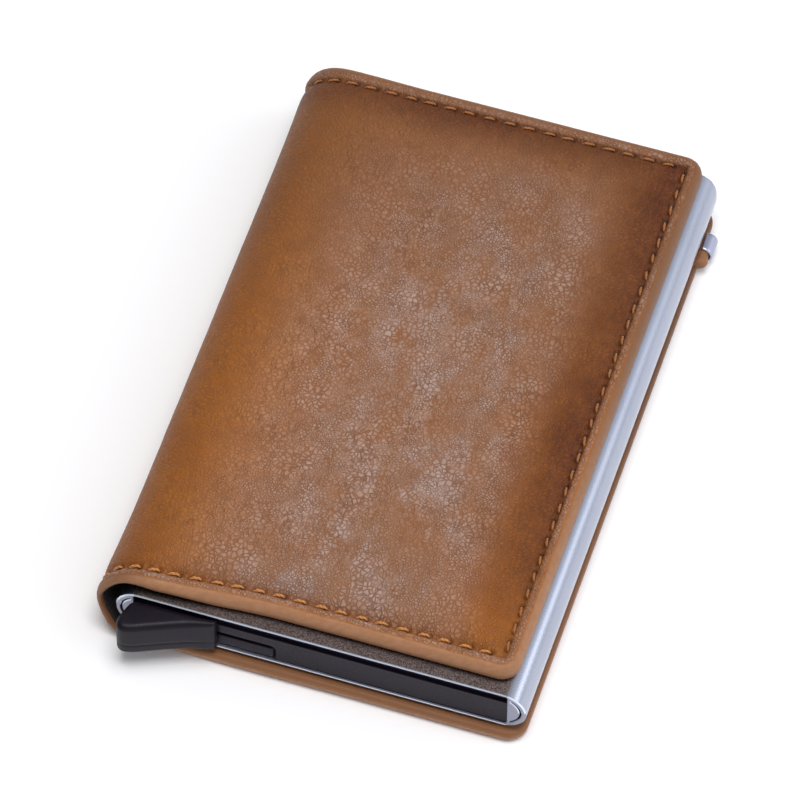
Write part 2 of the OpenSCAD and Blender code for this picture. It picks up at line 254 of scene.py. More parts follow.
def lining_material(name, tone=(20, 15, 14)):
    """Thin black lining with a small grain."""
    g = Graph(name)
    c = g.coord()
    weave = g.noise(g.mapping(c), 2600, 2)
    cells = g.voronoi(g.warp(c, g.noise_colour(c, 900), 0.0004), 1500, "DISTANCE_TO_EDGE")
    colour = g.mix(g.remap(g.noise(c, 60), 0.3, 0.7), lin(*tone), scaled(tone, 1.5, 6))
    g.bump(g.math("ADD", g.remap(cells, 0, 0.15), g.mul(weave, 0.4)), 0.00005, 0.6)
    return g.set(colour=colour, rough=g.remap(weave, 0.3, 0.7, 0.5, 0.68), spec=0.35, sheen=0.1).mat


def aluminium_material(name, tone, rough0, rough1, grain=1.0, brushed=False, metal=1.0):
    """Satin metal with a fine grain; the attribute "flat" paints a darker, rougher brown speckle, a painted
    reflection of the leather.
    """
    g = Graph(name)
    c = g.coord()
    if brushed:
        speck = g.noise(g.mapping(c, (1, 0.03, 1)), 4200, 3, 0.7)
    else:
        speck = g.noise(c, 5200, 2, 0.7)
    colour = g.mix(g.remap(speck, 0.3, 0.7), scaled(tone, 1, -5), lin(*tone))
    colour = g.mix(g.remap(g.noise(c, 90, 3), 0.35, 0.7, 0, 0.25), colour, scaled(tone, 1, -16))
    # painted reflection of the leather where the attribute "flat" says
    leather_reflection = g.attr("flat")
    speckle = g.mix(g.remap(g.noise(c, 6500, 2, 0.8), 0.4, 0.62), lin(74, 66, 66), lin(142, 130, 128))
    colour = g.mix(leather_reflection, colour, speckle)
    g.bump(speck, 0.000012 * grain, 0.5)
    return g.set(colour=colour, rough=g.remap(leather_reflection, 0, 1, rough0, rough1 + 0.12), metal=metal).mat


def plastic_material(name, tone, rough0=0.34, rough1=0.46):
    """Moulded plastic with a faint spark texture."""
    g = Graph(name)
    c = g.coord()
    spark = g.noise(c, 3000, 2, 0.6)
    colour = g.mix(g.remap(g.noise(c, 120), 0.3, 0.7), lin(*tone), scaled(tone, 1, 5))
    g.bump(spark, 0.000006, 0.3)
    return g.set(colour=colour, rough=g.remap(spark, 0.3, 0.7, rough0, rough1), spec=0.19).mat


def fibre_material(name, tone, scale=2500, rough=0.95):
    """Felt, foam and board: a matt tangle of fibres."""
    g = Graph(name)
    c = g.coord()
    fibres = g.noise(g.warp(c, g.noise_colour(c, 700), 0.0008), scale, 5, 0.7)
    colour = g.mix(g.remap(fibres, 0.3, 0.7), scaled(tone, 0.75), scaled(tone, 1.15))
    g.bump(fibres, 0.00006, 0.8)
    return g.set(colour=colour, rough=g.remap(fibres, 0.3, 0.7, rough, rough - 0.1), spec=0.25, sheen=0.3).mat


def thread_material(name):
    """Twisted orange-yellow thread; the attribute "dim" darkens the stitches that lie in the shade."""
    g = Graph(name)
    uv = g.coord("UV")
    ply = g.node("ShaderNodeTexWave", wave_type="BANDS", bands_direction="DIAGONAL")
    g.put(ply.inputs["Vector"], g.mapping(uv))
    for k, v in (("Scale", 1.1), ("Distortion", 1.0), ("Detail", 2)):
        ply.inputs[k].default_value = v
    twist = ply.outputs["Fac"]
    fuzz = g.noise(uv, 6, 3)
    colour = g.mix(g.remap(twist, 0.15, 0.7), lin(158, 94, 32), lin(196, 126, 54))
    colour = g.mix(g.remap(fuzz, 0.45, 0.7, 0, 0.4), colour, lin(212, 150, 82))
    colour = g.mix(g.attr("dim"), colour, lin(112, 58, 18))
    g.bump(g.math("ADD", twist, g.mul(fuzz, 0.5)), 0.00003, 0.6)
    return g.set(colour=colour, rough=g.remap(fuzz, 0.3, 0.7, 0.62, 0.5), spec=0.35, sheen=0.3).mat


M_LEATHER = leather_material("tan_leather", 0.42)
M_POCKET = leather_material("pocket_leather", 0.25)
M_LINING = lining_material("black_lining")
M_ALU = aluminium_material("anodised_aluminium", (176, 181, 196), 0.26, 0.30, 0.02)
# painted highlight: a bright, half-metallic copy of the aluminium for the upper cut rims and the end faces round
# the channel
M_ALU_HIGHLIGHT = aluminium_material("aluminium_painted_highlight", (226, 236, 252), 0.25, 0.30, 0.1, False, 0.4)
# painted shade: a darker copy of the aluminium for the lower cut rims and the side walls' ends
M_ALU_SHADE = aluminium_material("aluminium_painted_shade", (150, 152, 168), 0.35, 0.45, 0.6)
M_CLIP = aluminium_material("clip_metal", (176, 178, 198), 0.40, 0.48, 0.6, True)
M_STEEL = aluminium_material("pin_steel", (190, 190, 192), 0.18, 0.28, 0.5, True)
M_BLACK = plastic_material("black_plastic", (21, 14, 28))
M_LEVER = plastic_material("lever_plastic", (18, 11, 22), 0.38, 0.48)
M_FELT = fibre_material("felt", (34, 33, 35))
M_FOAM = fibre_material("foam", (205, 200, 188), 1400)
M_BOARD = fibre_material("board", (110, 98, 84), 1800, 0.85)
M_TAPE = fibre_material("adhesive_pad", (46, 45, 47), 1600, 0.8)
M_THREAD = thread_material("thread")

for node, mat in {
    "back_board": M_BOARD, "mounting_tape": M_TAPE, "end_plug": M_BLACK, "pivot_pin": M_STEEL,
    "felt_left": M_FELT, "felt_right": M_FELT, "front_foam": M_FOAM,
}.items():
    ob = frame["nodes"][node]
    ob.data.materials.clear()
    ob.data.materials.append(mat)


# ---------------------------------------------------------------- mesh helpers
def add_object(name, data):
    ob = bpy.data.objects.new(name, data)
    bpy.context.scene.collection.objects.link(ob)
    return ob


def make(name, verts, faces, mats, uv=None, attrs=None, face_mats=None):
    """A mesh from points in mm, with one uv (mm) per point and float attributes."""
    me = bpy.data.meshes.new(name)
    me.from_pydata((np.asarray(verts, float) * MM).tolist(), [], [list(map(int, f)) for f in faces])
    for m in mats:
        me.materials.append(m)
    if face_mats is not None:
        me.polygons.foreach_set("material_index", np.asarray(face_mats, np.int32))
    me.polygons.foreach_set("use_smooth", np.full(len(me.polygons), True))
    if uv is not None:
        layer = me.uv_layers.new(name="UVMap")
        idx = np.empty(len(me.loops), np.int32)
        me.loops.foreach_get("vertex_index", idx)
        layer.data.foreach_set("uv", np.asarray(uv, np.float32)[idx].ravel())
    for k, vals in (attrs or {}).items():
        a = me.attributes.new(k, "FLOAT", "POINT")
        a.data.foreach_set("value", np.asarray(vals, np.float32))
    me.update()
    return add_object(name, me)


def outward(ob):
    """Turns all faces of a closed mesh outward."""
    bm = bmesh.new()
    bm.from_mesh(ob.data)
    bmesh.ops.recalc_face_normals(bm, faces=bm.faces)
    bm.to_mesh(ob.data)
    bm.free()


def bands(rings, n, start=0):
    """Quads that join each closed ring of n points to the next."""
    at = [start + r * n for r in range(rings)]
    return [(a + k, a + (k + 1) % n, b + (k + 1) % n, b + k) for a, b in zip(at, at[1:]) for k in range(n)]


def step(x, a, b):
    """Smooth step from 0 at a to 1 at b."""
    t = np.clip((x - a) / (b - a), 0, 1)
    return t * t * (3 - 2 * t)


def lumps(x, y, pitch, seed, size=256):
    """Smooth random bumps between -1 and 1 on a lattice."""
    r = np.random.default_rng(seed).uniform(-1, 1, (size, size))
    u, v = np.asarray(x) / pitch + 100.3, np.asarray(y) / pitch + 100.7
    i, j = np.floor(u).astype(int), np.floor(v).astype(int)
    fu, fv = step(u - i, 0, 1), step(v - j, 0, 1)
    i, j, i1, j1 = i % size, j % size, (i + 1) % size, (j + 1) % size
    return (r[i, j] * (1 - fu) + r[i1, j] * fu) * (1 - fv) + (r[i, j1] * (1 - fu) + r[i1, j1] * fu) * fv


def spline(a, b, c, d, t):
    """Catmull-Rom from b to c."""
    return 0.5 * ((2 * b) + (c - a) * t + (2 * a - 5 * b + 4 * c - d) * t ** 2 + (3 * b - a - 3 * c + d) * t ** 3)


def lengths(points):
    """Distance along a polyline, at each of its points."""
    return np.concatenate([[0], np.cumsum(np.linalg.norm(np.diff(points, axis=0), axis=1))])


def smooth_path(points, n):
    """A spline through the points, resampled evenly."""
    p = np.asarray(points, float)
    q = np.vstack([2 * p[0] - p[1], p, 2 * p[-1] - p[-2]])
    t = np.linspace(0, 1, 24, endpoint=False)[:, None]
    out = np.vstack([spline(*q[k:k + 4], t) for k in range(len(p) - 1)] + [p[-1:]])
    s = lengths(out)
    at = np.linspace(0, s[-1], n)
    return np.stack([np.interp(at, s, out[:, k]) for k in range(out.shape[1])], 1)


# ---------------------------------------------------------------- key dimensions, from the frame
fl_lo, fl_hi = mm_box("front_leather")
bl_lo, bl_hi = mm_box("back_leather")
case_lo, case_hi = mm_box("case_shell")
pk_lo, pk_hi = mm_box("pocket_shallow")
pd_lo, pd_hi = mm_box("pocket_deep")
fb_lo, fb_hi = mm_box("front_board")
joints = {j["name"]: j for j in frame["record"]["behaviour"]["joints"]}
crease_x = joints["front_fold"]["pos_m"][0] / MM
crease_hi = joints["front_fold"]["pos_m"][2] / MM
crease_lo = joints["spine_fold"]["pos_m"][2] / MM
rim_z = fb_hi[2] + 1.0              # outer face of the front cover at its rim
mid_z = (crease_lo + crease_hi) / 2
PITCH = 3.1                         # stitch pitch
INSET = 2.6                         # stitch line from the edge
CORNER = 3.0                        # corner radius of the covers
GRID = 0.36                         # mesh pitch along a cover's section

# ring profile of a cut and painted edge: (inset, share of thickness below the rim)
EDGE = [(1.25, 0.985), (0.9, 1.0), (0.55, 0.99), (0.26, 0.94), (0.09, 0.85), (0.01, 0.73), (0.0, 0.60),
        (0.02, 0.47), (0.08, 0.35), (0.20, 0.235), (0.37, 0.145), (0.58, 0.075), (0.82, 0.03), (1.08, 0.005)]
INNER = [1.32, 1.56, 1.8, 2.02, 2.22, 2.4, 2.56, 2.72, 2.9, 3.1, 3.35, 3.62, 3.9, 4.2, 4.5, 4.85, 5.2, 5.6, 6.0]
RINGS = EDGE + [(d, 0.0) for d in INNER]
K = len(RINGS)
RC = RINGS[-1][0]                   # inset of the innermost ring
LIP_AT_SPINE = 0.75                 # the underside's lip is narrower near the spine


def stitch_marks(length, first):
    """Centres of stitches along a line, starting from a given distance."""
    return np.arange(first, length - 0.9, PITCH)


def corner_point(share, d):
    """A place on the ring with inset d, in a corner square of side RC: a share of the way to the corner's
    middle, as (distance along the edge, distance from the edge)."""
    rad = max(CORNER - d, 0.4)
    straight = RC - d - rad
    q = share * (straight + rad * math.pi / 4)
    if q <= straight:
        return q, d
    f = (q - straight) / rad
    return straight + rad * math.sin(f), d + rad - rad * math.cos(f)


def sheet_grid(s, base_x, rows, s_flat, y_low, y_top, lip):
    """Grid of a cover: section length and y of each point, its inset and its share down the edge's wall."""
    rings = [(lip, EDGE[0][1])] + RINGS[1:]
    col_ring = [K] * len(s) + list(range(K - 1, -1, -1))
    row_ring = list(range(K)) + [K] * len(rows) + list(range(K - 1, -1, -1))
    S, Y, inset, depth = np.zeros((4, len(col_ring), len(row_ring)))
    for a, ck in enumerate(col_ring):
        for b, rk in enumerate(row_ring):
            k, outer = min(ck, rk), max(ck, rk)
            d, dep = rings[k] if k < K else (9.0, 0.0)
            if k == 0 and ck == K and base_x[a] < crease_x + 5:
                d = LIP_AT_SPINE
            x, y_in = s[a] if ck == K else s_flat + RC - d, d
            if outer < K:
                u, v = corner_point((K - 1 - outer) / max(K - 1 - k, 1), d)
                x, y_in = (s_flat + u, v) if rk <= ck else (s_flat + RC - v, RC - u)
            S[a, b], inset[a, b], depth[a, b] = x, d, dep
            if rk == K:
                Y[a, b] = rows[b - K]
            else:
                Y[a, b] = y_top - y_in if b >= K + len(rows) else y_low + y_in
    return S, Y, inset, depth


def pillow_rise(d, w, start=3.0):
    """The padding's rise from a stitch line: 0 at its foot, 1 from w onwards."""
    return (1 - (1 - np.clip((d - start) / w, 0, 1)) ** 2.4) * (d > start)


def gauss(d, w):
    return np.exp(-(d / w) ** 2)


def pull_stitches(up, hole_shade, S, Y, marks):
    """Presses two needle holes per stitch into the height field, puffs the leather between stitches, and marks
    painted shadow in the needle holes.
    """
    for ms, my, side in marks:
        win = (np.abs(S - ms) < 3.2) & (np.abs(Y - my) < 3.2)
        along, across = (S[win] - ms, Y[win] - my)[::-1 if side else 1]
        for end, press in ((-0.74, 0.18), (0.80, 0.42)):
            dent = np.exp(-(((along - end) / 0.30) ** 2 + (across / 0.34) ** 2))
            up[win] -= press * dent
            hole_shade[win] = np.maximum(hole_shade[win], dent * (0.4 + press))
        up[win] += 0.10 * np.exp(-(((along - PITCH / 2) / 0.5) ** 2 + (across / 0.6) ** 2))


def sheet_tones(S, Y, bx, d_right, d_low, d_top, depth, y_low, y_top, seed):
    """Where a cover is burnished and given painted shade (burn), pale from rubbing and given a painted sheen
    (wear), given painted shade on its painted edge (dusk) and given painted shade on its far half (far).
    """
    edge = np.minimum(np.minimum(d_right, d_low), d_top)

    def near(d, w):
        return gauss(np.clip(d - 3.0, 0, 99), w)

    # burnishing mixed with painted shade along the free side, the ends, the spine and over the far half
    burnish_and_shade = np.maximum(near(d_right, 7.5) * (0.2 + 0.8 * step(Y, y_low + 4, y_low + 24)), 0.85 * near(d_top, 5.5))
    burnish_and_shade = np.maximum(burnish_and_shade, 0.3 * near(d_low, 2.0)) * step(edge, 1.9, 2.4)
    burnish_and_shade = np.maximum(burnish_and_shade, 0.2 * (1 - step(bx, crease_x + 3, crease_x + 12)))
    burnish_and_shade = np.maximum(burnish_and_shade, 0.15 * step(Y, -5, 40))
    burnish_and_shade = np.clip(burnish_and_shade * (1.0 + 0.22 * lumps(S, Y, 9, seed + 8)), 0, 1)
    # painted sheen over the middle, and pale rubbing with a painted highlight on the ridge outside the stitches
    wear_and_sheen = step(d_right, 6, 17) * step(d_top, 2, 20) * step(d_low, 1.8, 4.5) * step(bx, crease_x + 3, crease_x + 27)
    wear_and_sheen = wear_and_sheen * (1.0 - 0.2 * step(Y, -35, 0) - 0.25 * step(Y, 0, 42)) * (0.92 + 0.2 * lumps(S, Y, 16, seed + 9))
    rim = (0.75 - 0.3 * (d_low > 3)) * gauss(edge - 1.6, 0.5)
    wear_and_sheen = np.maximum(np.clip(wear_and_sheen, 0, 1), rim * (depth <= 0))
    # painted shade on the edge's paint at the free side (more towards the far end), along the far edge and at the
    # spine
    dusk = (1 - step(d_right, 1, 4)) * (0.25 + 0.6 * step(Y, y_low + 8, y_top - 25))
    dusk = np.maximum(dusk, 0.7 * (1 - step(d_top, 1, 3)))
    dusk = np.maximum(dusk, 0.5 * (1 - step(bx, crease_x, crease_x + 8)))
    # far: painted shade over the far half
    return {"burnish_and_shade": burnish_and_shade, "wear_and_sheen": wear_and_sheen, "dusk": dusk, "far": step(Y, -12, 36)}


def cover_sheet(name, path, x_right, y_low, y_top, thick, crown, flip, shift, mats, seed, lip=1.25):
    """A leather cover: a spine-side path in XZ that runs on flat to the free edge, with painted edges.
    path: (x, z) of the outer face from the middle of the spine to the start of the flat.
    thick(x): thickness of the edge. crown: height of the padding. flip: the outer face looks down.
    shift(x, z): how far the lower edge drifts down. lip: inset of the edge's innermost ring."""
    flat_z = path[-1][1]
    flat = np.arange(path[-1][0] + GRID, x_right - RC - 0.1, GRID)
    base = np.vstack([path, np.stack([flat, np.full(len(flat), flat_z)], 1)])
    tang = np.gradient(base, axis=0)
    tang /= np.linalg.norm(tang, axis=1)[:, None]
    sgn = -1.0 if flip else 1.0
    normal = np.stack([-tang[:, 1], tang[:, 0]], 1) * sgn
    normal[len(path):] = (0, sgn)
    s = lengths(base)
    rows = np.arange(y_low + RC + 0.33, y_top - RC - 0.05, 0.33)
    s_flat = s[-1] + (x_right - RC - base[-1][0])
    s_end = s_flat + RC
    S, Y, inset, depth = sheet_grid(s, base[:, 0], rows, s_flat, y_low, y_top, lip)

    # the section, opened out: place and outward normal at each point
    section = {"s": np.append(s, s_end), "x": np.append(base[:, 0], x_right), "z": np.append(base[:, 1], flat_z),
               "nx": np.append(normal[:, 0], 0), "nz": np.append(normal[:, 1], sgn)}
    bx, bz, nx, nz = (np.interp(S, section["s"], section[k]) for k in ("x", "z", "nx", "nz"))
    T = thick(bx)
    d_right, d_low, d_top = s_end - S, Y - y_low, y_top - Y
    edge = np.minimum(np.minimum(d_right, d_low), d_top)
    d_edge = np.where(inset < 9, inset, edge)

    # height of the outer face: stitch valley, ridge outside it, padding, wrinkles and small unevenness
    valley = -0.46 * gauss(d_edge - INSET, 0.55) - 0.10 * gauss(d_edge - INSET - 0.9, 0.8)
    up = (valley + 0.05 * gauss(d_edge - 1.35, 0.4)) * (depth <= 0)
    if crown:
        pillow = pillow_rise(d_right, 11) * pillow_rise(d_low, 12) * pillow_rise(d_top, 12)
        pillow = pillow * step(bx, crease_x - 1.0, crease_x + 13)
        up = up + (crown * 0.93 + 0.16 * lumps(S, Y, 13, seed)) * pillow
        up = up + 0.07 * lumps(S + 5, Y, 5.5, seed + 1) * np.sqrt(pillow + 0.01)
        lines = np.abs(lumps(S + 0.6 * Y, Y * 0.35 - 0.2 * S, 3.4, seed + 2))
        up = up - 0.045 * gauss(lines, 0.10) * pillow
    up = up + 0.02 * lumps(S, Y, 2.2, seed + 3) * np.clip(d_edge, 0, 1)

    # stitches as (section length, y, side): the lower and upper lines in turn, then the free side
    marks = []
    for x in stitch_marks(s_end - INSET - s[0], 1.5):
        marks += [(s[0] + x, y_low + INSET, False), (s[0] + x, y_top - INSET, False)]
    for y in stitch_marks(y_top - y_low - 2 * INSET, 1.9):
        marks.append((s_end - INSET, y_low + INSET + y, True))
    hole_shade = np.zeros_like(S)
    pull_stitches(up, hole_shade, S, Y, marks)

    # the edge's wall is a little wavy, the spine stands out at its ends, the lower edge drifts down
    off = np.where(depth > 0, -depth * T, up)
    off = off + np.where((depth > 0) & (d_edge < 0.9), 0.03 * lumps(S * 0.7, Y * 0.7, 6, seed + 5), 0)
    X = bx + nx * off - spine_bulge(bz, d_low, d_top) * (bx < crease_x + 6)
    Z = bz + nz * off
    uneven = 0.12 * lumps(S, Y * 0, 17, seed + 6) * (1 - step(d_low, 0, 6)) * step(bx, crease_x - 0.5, crease_x + 9)
    Yw = Y - shift(bx, bz) * (1 - step(Y, y_low + 1, y_low + 22)) + uneven
    verts = np.stack([X, Yw, Z], -1)
    uv = np.stack([S + depth * T * 0.9, Y - depth * T * 0.9 * (d_low < 2)], -1).reshape(-1, 2)
    idx = np.arange(S.size).reshape(S.shape)
    quads = np.stack([idx[:-1, :-1], idx[1:, :-1], idx[1:, 1:], idx[:-1, 1:]], -1).reshape(-1, 4)
    if flip:
        quads = quads[:, ::-1]
    attrs = sheet_tones(S, Y, bx, d_right, d_low, d_top, depth, y_low, y_top, seed)
    attrs["paint"] = np.maximum(step(-d_edge, -1.25, -0.72), (depth > 0.05) * 1.0)
    # painted shade on the lower half of the edge's wall
    attrs["low"] = step(depth, 0.45, 0.85)
    # painted shadow in the needle holes
    attrs["hole_shade"] = np.clip(hole_shade, 0, 1)
    ob = make(name, verts.reshape(-1, 3), quads, mats, uv, {k: v.ravel() for k, v in attrs.items()})
    return ob, {"section": section, "S": S, "Y": Y, "verts": verts, "marks": marks, "flip": flip, "shift": shift}


def thread_piece(name, data, radius0, lift0, seed):
    """One mesh of separate stitches, each dipping into its two holes. Stitches of the lower line are the
    ones nearest to the eye: thicker, higher and brighter."""
    r = np.random.default_rng(seed)
    verts, faces, uvs, dim = [], [], [], []
    V = data["verts"]
    ring, n = 10, 9                 # points round a stitch, rings along it
    dip = 0.42                      # how deep the ends go down
    for ms, my, side in data["marks"]:
        gap = (data["S"] - ms) ** 2 + (data["Y"] - my) ** 2
        a, b = np.unravel_index(np.argmin(gap), gap.shape)
        du = V[min(a + 2, V.shape[0] - 1), b] - V[max(a - 2, 0), b]
        dv = V[a, min(b + 2, V.shape[1] - 1)] - V[a, max(b - 2, 0)]
        du, dv = du / np.linalg.norm(du), dv / np.linalg.norm(dv)
        nrm = np.cross(du, dv)
        nrm /= np.linalg.norm(nrm)
        if data["flip"]:
            nrm = -nrm
        along, across = (dv, np.cross(nrm, dv)) if side else (du, np.cross(nrm, du))
        tilt = math.radians(9 + r.uniform(-4, 4))
        d = along * math.cos(tilt) + across * math.sin(tilt)
        e = np.cross(nrm, d)
        half = 0.88 + r.uniform(-0.08, 0.08)
        lower_line = not side and my < 0
        radius, lift = (radius0, lift0) if lower_line else (radius0 * 0.84, lift0 - 0.07)
        ctr = V[a, b] + nrm * lift + d * r.uniform(-0.08, 0.08)
        base = len(verts)
        for t in np.linspace(-1, 1, n):
            c = ctr + d * (t * half) + nrm * (0.06 - dip * abs(t) ** 4)
            f = d * half - nrm * (4 * dip * abs(t) ** 3 * np.sign(t))
            g2 = np.cross(e, f / np.linalg.norm(f))
            rad = radius * (1 - 0.25 * abs(t) ** 4)
            for k in range(ring):
                ph = 2 * math.pi * k / ring
                strands = 1 + 0.07 * math.cos(2 * ph - 5.0 * t)
                verts.append(c + (e * math.cos(ph) + g2 * math.sin(ph) * 0.86) * rad * strands)
                uvs.append((t * half + 10 * base / (n * ring), ph * radius))
                dim.append(0.0 if lower_line else 0.55)
        faces += bands(n, ring, base)
        faces.append([base + k for k in range(ring)])
        faces.append([base + (n - 1) * ring + k for k in reversed(range(ring))])
    ob = make(name, verts, faces, [M_THREAD], uvs, {"dim": dim})
    outward(ob)
    return ob


def inner_sheet(name, data, depth, more, y0, y1, s1, mats, thickness=0.12, rows=80):
    """A lining under a cover: follows the same section at a given depth, as a closed thin slab.
    more: how much farther up its lower edge starts on the flat than at the spine."""
    section = data["section"]
    ss = np.append(np.arange(0.0, s1, 0.8), s1)
    bx, bz, nx, nz = (np.interp(ss, section["s"], section[k]) for k in ("x", "z", "nx", "nz"))
    top = depth(bx)
    start = y0 + more * step(bx, crease_x + 4.5, crease_x + 7)
    verts, faces = [], []
    for level in (top, top + thickness):
        for i in range(len(ss)):
            for y in start[i] + np.linspace(0, 1, rows) * (y1 - start[i]):
                out = spine_bulge(bz[i], y - y0, y1 - y) * (bx[i] < crease_x + 6)
                drift = data["shift"](bx[i], bz[i]) * (1 - step(y, y0 + 1, y0 + 22))
                verts.append((bx[i] - nx[i] * level[i] - out, y - drift, bz[i] - nz[i] * level[i]))
    n, m = len(ss), rows
    idx = np.arange(2 * n * m).reshape(2, n, m)
    for layer, turn in ((0, 1), (1, -1)):
        I = idx[layer]
        quads = np.stack([I[:-1, :-1], I[1:, :-1], I[1:, 1:], I[:-1, 1:]], -1).reshape(-1, 4)
        faces += quads[:, ::turn].tolist()
    rim = [(i, 0) for i in range(n)] + [(n - 1, j) for j in range(1, m)]
    rim += [(i, m - 1) for i in range(n - 2, -1, -1)] + [(0, j) for j in range(m - 2, 0, -1)]
    for a, b in zip(rim, rim[1:] + rim[:1]):
        faces.append([idx[0][a], idx[1][a], idx[1][b], idx[0][b]])
    ob = make(name, verts, faces, mats, [v[:2] for v in verts])
    outward(ob)
    return ob


# ---------------------------------------------------------------- front cover and the spine's upper half
left_x = mm_box("spine_leather")[0][0] + 0.2      # the spine's outermost line
front_path = smooth_path([
    (left_x, mid_z), (left_x + 0.16, mid_z + 1.3), (left_x + 0.75, mid_z + 2.8),
    (left_x + 1.75, mid_z + 4.15), (left_x + 3.1, mid_z + 5.2), (left_x + 4.7, mid_z + 5.9),
    (left_x + 6.4, mid_z + 6.25), (left_x + 8.2, rim_z)], 60)


def front_thick(x):
    """The front's edge: one skin at the spine, then the turned edge, then both layers with the board."""
    return 1.05 + 1.15 * step(x, crease_x + 1.0, crease_x + 7.5) + 0.8 * step(x, crease_x + 8, crease_x + 17)


def front_shift(x, z):
    return 1.35 * (1 - step(x, crease_x + 3, crease_x + 26)) + 0.45 * (1 - step(z, mid_z, mid_z + 6.0))


def spine_bulge(z, d_low, d_top):
    """The spine stands out a little more at its open ends."""
    return (gauss(d_low, 9.0) * 0.75 + gauss(d_top, 9.0) * 0.4) * gauss(z - mid_z + 1.0, 3.6)


def front_lining_depth(x):
    return np.minimum(front_thick(x), 2.2) - 0.12


front, fdata = cover_sheet("front_cover_leather", front_path, fl_hi[0], fl_lo[1], fl_hi[1], front_thick, 1.3, False,
                           front_shift, [M_LEATHER], 11)
front_threads = thread_piece("front_stitching", fdata, 0.22, 0.20, 21)
front_in = inner_sheet("front_cover_lining", fdata, front_lining_depth, 0, fl_lo[1] + 0.7, fl_hi[1] - 0.7,
                       fdata["section"]["s"][-1] - 1.0, [M_LINING])

# ---------------------------------------------------------------- back cover and the spine's lower half
back_path = smooth_path([
    (left_x, mid_z), (left_x + 0.14, mid_z - 1.5), (left_x + 0.6, mid_z - 3.4), (left_x + 1.4, mid_z - 5.3),
    (left_x + 2.7, mid_z - 6.8), (left_x + 4.6, 0.16), (left_x + 6.8, 0.02)], 60)


def back_thick(x):
    return 1.05 + 1.2 * step(x, crease_x + 1.5, crease_x + 6.5)


def back_shift(_, z):
    return -1.2 * step(z, 1.0, mid_z)


def back_lining_depth(x):
    return back_thick(x) - 0.12


back, bdata = cover_sheet("back_cover_leather", back_path, bl_hi[0] + 0.35, bl_lo[1], bl_hi[1], back_thick, 0, True,
                          back_shift, [M_LEATHER], 31, 2.8)
back_threads = thread_piece("back_stitching", bdata, 0.20, 0.10, 41)
back_in = inner_sheet("back_cover_lining", bdata, back_lining_depth, 1.5, bl_lo[1] + 0.7, bl_hi[1] - 0.7,
                      bdata["section"]["s"][-1] - 2.6, [M_LINING])


# ---------------------------------------------------------------- slabs with rounded rims (pockets, lever parts)
def slab(name, outline, z0, z1, mats, bevel=0.15, segments=3, uv=False):
    """A plate from an outline in mm, with small rounded rims."""
    bm = bmesh.new()
    face = bm.faces.new([bm.verts.new((x * MM, y * MM, z0 * MM)) for x, y in outline])
    grown = bmesh.ops.extrude_face_region(bm, geom=[face])["geom"]
    moved = [v for v in grown if isinstance(v, bmesh.types.BMVert)]
    bmesh.ops.translate(bm, verts=moved, vec=(0, 0, (z1 - z0) * MM))
    bmesh.ops.recalc_face_normals(bm, faces=bm.faces)
    edges = [e for e in bm.edges if len(e.link_faces) == 2 and e.calc_face_angle(0) > 1.2]
    bmesh.ops.bevel(bm, geom=edges, offset=bevel * MM, segments=segments, profile=0.6, affect="EDGES",
                    clamp_overlap=True)
    if uv:
        layer = bm.loops.layers.uv.new("UVMap")
        for loop in (l for f in bm.faces for l in f.loops):
            x, y, z = loop.vert.co / MM
            loop[layer].uv = (x, y + z)
    me = bpy.data.meshes.new(name)
    bm.to_mesh(me)
    bm.free()
    for m in mats:
        me.materials.append(m)
    me.polygons.foreach_set("use_smooth", np.full(len(me.polygons), True))
    ob = add_object(name, me)
    ob.modifiers.new("normals", "WEIGHTED_NORMAL").keep_sharp = True
    return ob


def arc(radius, a0, a1, n, cx=0.0, cy=0.0):
    """n + 1 points of an arc from a0 to a1 degrees."""
    turns = [math.radians(a0 + (a1 - a0) * k / n) for k in range(n + 1)]
    return [(cx + radius * math.cos(a), cy + radius * math.sin(a)) for a in turns]


def rounded(x0, x1, y0, y1, radii, n=8):
    """Outline of a rectangle; radii at (x1,y1), (x0,y1), (x0,y0), (x1,y0)."""
    out = []
    for (cx, cy, a0), r in zip(((x1, y1, 0), (x0, y1, 90), (x0, y0, 180), (x1, y0, 270)), radii):
        inward_x, inward_y = (-r if cx == x1 else r), (-r if cy == y1 else r)
        out += arc(r, a0, a0 + 90, n, cx + inward_x, cy + inward_y)
    return out


SHARP_LEFT = (2, 0.5, 0.5, 2)       # radii of a layer that is rounded on its free side only


def cover_layer(name, lo, hi, margins, z0, z1, mat, bevel, segments, uv):
    """A flat layer inside the front cover, held in from its node's box by (left, right, ends)."""
    left, right, ends = margins
    outline = rounded(lo[0] + left, hi[0] - right, lo[1] + ends, hi[1] - ends, SHARP_LEFT)
    return slab(name, outline, z0, z1, [mat], bevel, segments, uv)


pocket_a = cover_layer("pocket_panel_shallow", pk_lo, pk_hi, (0, 0.9, 0.9), pk_lo[2] + 0.02, pk_hi[2],
                       M_POCKET, 0.12, 3, True)
pocket_b = cover_layer("pocket_panel_deep", pd_lo, pd_hi, (0, 0.9, 0.9), pd_lo[2] + 0.01, pd_hi[2] + 0.1,
                       M_POCKET, 0.12, 3, True)
board = cover_layer("front_stiffener", fb_lo, fb_hi, (5.5, 1.4, 1.4), fb_lo[2] + 0.02, fb_hi[2] - 0.02,
                    M_BOARD, 0.08, 2, False)

